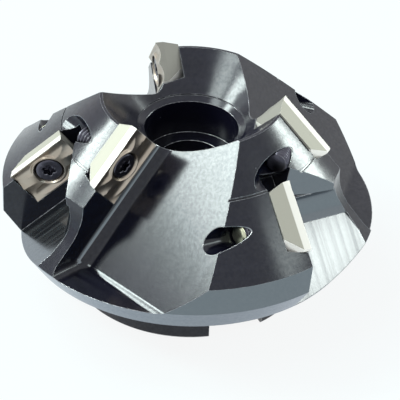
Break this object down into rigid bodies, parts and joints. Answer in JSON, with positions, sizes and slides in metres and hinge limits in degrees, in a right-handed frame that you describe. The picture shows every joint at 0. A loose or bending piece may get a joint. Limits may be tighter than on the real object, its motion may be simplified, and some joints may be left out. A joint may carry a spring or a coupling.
{
  "type": "shell chamfer mill",
  "caption": "Conical shell mill for chamfering, with screwed-on indexable inserts in staggered rows, chip gullets, a central arbor bore and a cross key slot in its drive face.",
  "frame": {"origin": "centre of the drive face, where the tool seats on its arbor", "axes": "+Z along the spindle axis from the drive face towards the cutting end; seen from +Z the tool turns counter-clockwise"},
  "size_m": [0.0796, 0.0795, 0.0467],
  "materials": {
    "blackened_steel": "blackened tool steel, satin with fine milling marks",
    "polished_insert": "ground and polished hard metal",
    "black_screw": "black oxide"
  },
  "bodies": {
    "root": {"cutter_body": "blackened_steel", "insert_inner_1": "polished_insert", "insert_inner_2": "polished_insert", "insert_inner_3": "polished_insert", "insert_outer_1": "polished_insert", "insert_outer_2": "polished_insert", "insert_outer_3": "polished_insert", "screw_inner_1": "black_screw", "screw_inner_2": "black_screw", "screw_inner_3": "black_screw", "screw_outer_1": "black_screw", "screw_outer_2": "black_screw", "screw_outer_3": "black_screw"}
  },
  "joints": []
}
